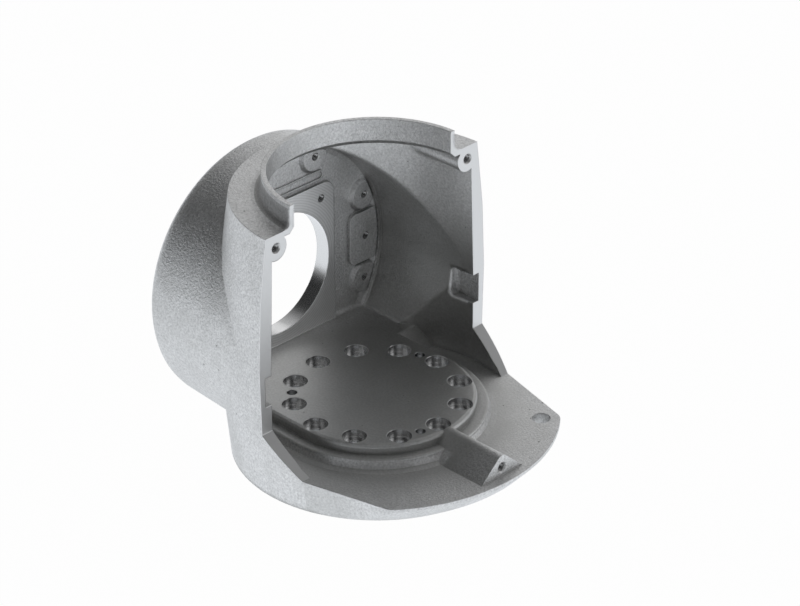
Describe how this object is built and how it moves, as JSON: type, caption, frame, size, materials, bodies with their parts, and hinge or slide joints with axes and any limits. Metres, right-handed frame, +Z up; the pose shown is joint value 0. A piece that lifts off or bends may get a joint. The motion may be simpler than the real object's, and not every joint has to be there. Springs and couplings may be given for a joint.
{
  "type": "swivel housing",
  "caption": "Cast swivel housing: open-fronted barrel wall with a side drum and bore, a screw-ring floor, a front flange with a rib, and a half collar on top.",
  "frame": {"origin": "centre of the screw circle on the machined turntable disc", "axes": "+Z up the column, +X out of the open side towards the cover, +Y to the right of it"},
  "size_m": [0.2135, 0.183, 0.1805],
  "materials": {
    "cast_aluminium": "shot-blasted casting with machined faces"
  },
  "bodies": {
    "root": {"housing": "cast_aluminium"}
  },
  "joints": []
}
